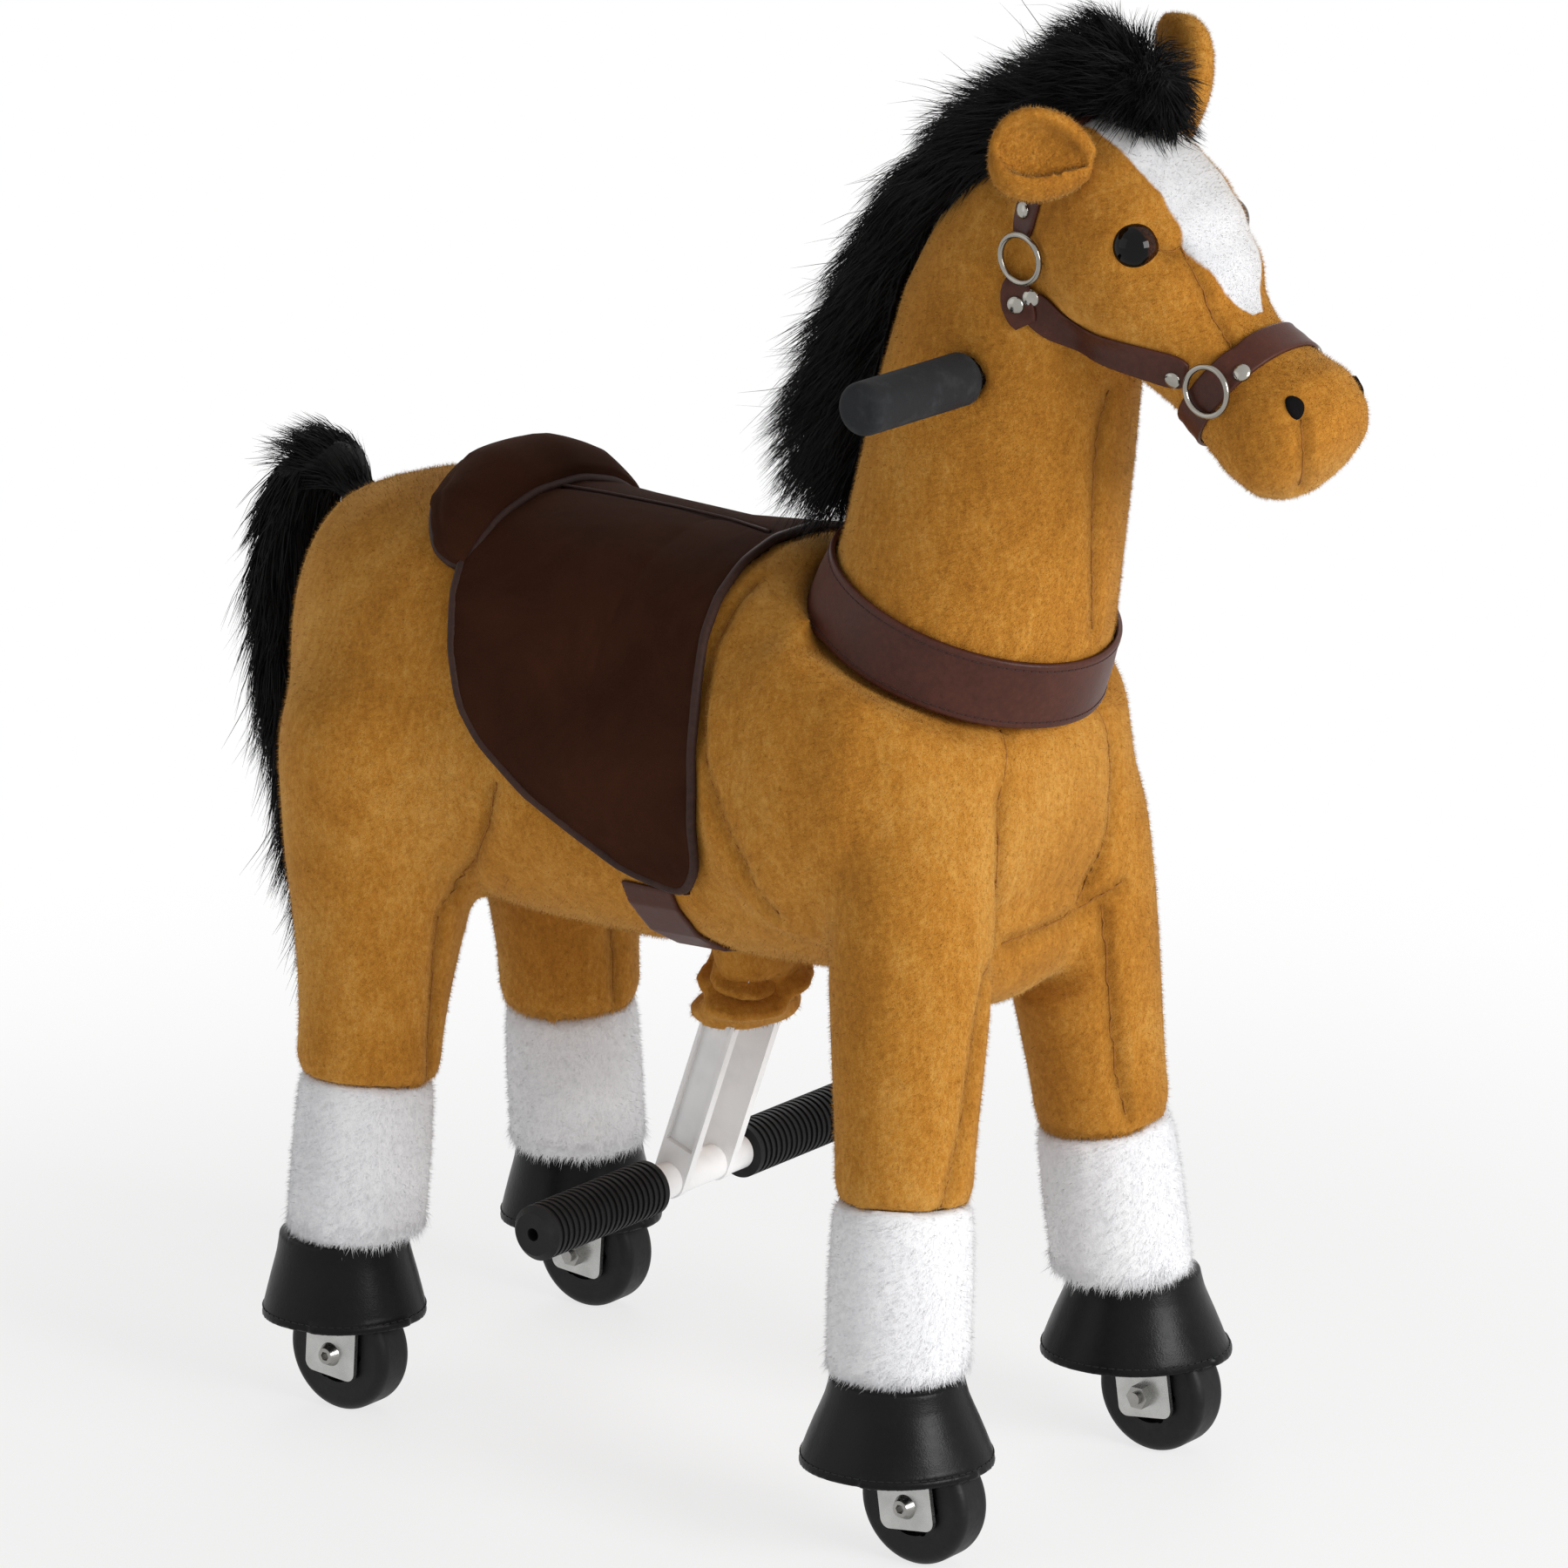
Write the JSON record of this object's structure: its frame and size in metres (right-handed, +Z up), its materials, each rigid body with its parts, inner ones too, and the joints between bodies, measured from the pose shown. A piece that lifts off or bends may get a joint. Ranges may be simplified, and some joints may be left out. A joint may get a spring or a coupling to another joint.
{
  "type": "ride on horse on wheels",
  "caption": "Stuffed ride-on horse on small wheels whose front legs rock with a spring-loaded footrest and whose neck and handlebar steer the front forks.",
  "frame": {"origin": "on the floor, under the middle of the horse's length and width", "axes": "+X forward to the nose, +Y to the horse's left, +Z up"},
  "size_m": [0.7985, 0.354, 0.8944],
  "materials": {
    "plush": "short golden pile",
    "white_plush": "short white pile",
    "fur": "long black pile",
    "saddle": "dark brown suede cloth",
    "strap": "brown leatherette with stitched edges",
    "hoof": "black leatherette, satin",
    "tyre": "black rubber",
    "hub": "black moulded plastic",
    "bush": "black moulded plastic",
    "steel": "bright zinc",
    "frame": "grey powder coat",
    "arm": "light grey paint",
    "grip": "dark grey moulded rubber",
    "peg": "black ribbed rubber",
    "board": "plain plywood",
    "eye": "glossy dark brown"
  },
  "bodies": {
    "body": {"spine_tube": "frame", "frame_bushes": "bush", "torsion_springs": "steel", "head_tube": "frame", "seat_board": "board", "rear_leg_frame": "frame", "rear_fork_right": "steel", "rear_fork_left": "steel", "rear_axle_bolts": "steel", "torso_plush": "plush", "rear_leg_plush_right": "plush", "rear_leg_plush_left": "plush", "rear_socks": "white_plush", "rear_hooves": "hoof", "saddle_pad": "saddle", "saddle_cantle": "saddle", "girth_strap": "strap", "tail": "fur"},
    "front_legs": {"front_leg_frame": "frame", "footrest_arms": "arm", "footrest_bar": "arm", "foot_peg_right": "peg", "foot_peg_left": "peg", "front_leg_plush_right": "plush", "front_leg_plush_left": "plush", "front_socks": "white_plush", "front_hoof_right": "hoof", "front_hoof_left": "hoof", "fork_bushes": "bush", "pedal_boot": "plush"},
    "steering": {"steering_column": "frame", "handlebar": "frame", "grip_right": "grip", "grip_left": "grip", "neck_plush": "plush", "head_plush": "plush", "ear_right": "plush", "ear_left": "plush", "mane": "fur", "eyes": "eye", "halter_straps": "strap", "halter_hardware": "steel", "breast_collar": "strap"},
    "front_fork_right": {"front_fork_right": "steel", "front_axle_bolt_right": "steel"},
    "front_fork_left": {"front_fork_left": "steel", "front_axle_bolt_left": "steel"},
    "front_wheel_right": {"front_tyre_right": "tyre", "front_hub_right": "hub", "front_bearings_right": "steel"},
    "front_wheel_left": {"front_tyre_left": "tyre", "front_hub_left": "hub", "front_bearings_left": "steel"},
    "rear_wheel_right": {"rear_tyre_right": "tyre", "rear_hub_right": "hub", "rear_bearings_right": "steel"},
    "rear_wheel_left": {"rear_tyre_left": "tyre", "rear_hub_left": "hub", "rear_bearings_left": "steel"}
  },
  "joints": [
    {"name": "leg_rock", "type": "hinge", "parent": "body", "child": "front_legs", "pos_m": [0.138, 0, 0.445], "axis": [0, -1, 0], "range_deg": [0, 13], "stiffness_Nm_per_rad": 40, "springref_deg": -11.46},
    {"name": "steer", "type": "hinge", "parent": "body", "child": "steering", "pos_m": [0.138, 0, 0.531], "axis": [0.342, 0, 0.9397], "range_deg": [-22, 22]},
    {"name": "fork_turn_right", "type": "hinge", "parent": "front_legs", "child": "front_fork_right", "pos_m": [0.1775, -0.12, 0.09], "axis": [0, 0, 1], "range_deg": [-22, 22]},
    {"name": "fork_turn_left", "type": "hinge", "parent": "front_legs", "child": "front_fork_left", "pos_m": [0.1775, 0.12, 0.09], "axis": [0, 0, 1], "range_deg": [-22, 22]},
    {"name": "front_wheel_spin_right", "type": "hinge", "parent": "front_fork_right", "child": "front_wheel_right", "pos_m": [0.1975, -0.12, 0.0375], "axis": [0, 1, 0], "continuous": true},
    {"name": "front_wheel_spin_left", "type": "hinge", "parent": "front_fork_left", "child": "front_wheel_left", "pos_m": [0.1975, 0.12, 0.0375], "axis": [0, 1, 0], "continuous": true},
    {"name": "rear_wheel_spin_right", "type": "hinge", "parent": "body", "child": "rear_wheel_right", "pos_m": [-0.2375, -0.12, 0.0375], "axis": [0, 1, 0], "continuous": true},
    {"name": "rear_wheel_spin_left", "type": "hinge", "parent": "body", "child": "rear_wheel_left", "pos_m": [-0.2375, 0.12, 0.0375], "axis": [0, 1, 0], "continuous": true}
  ],
  "couplings": [
    {"joint": "fork_turn_right", "follows": "steer", "ratio": 1},
    {"joint": "fork_turn_left", "follows": "steer", "ratio": 1}
  ]
}
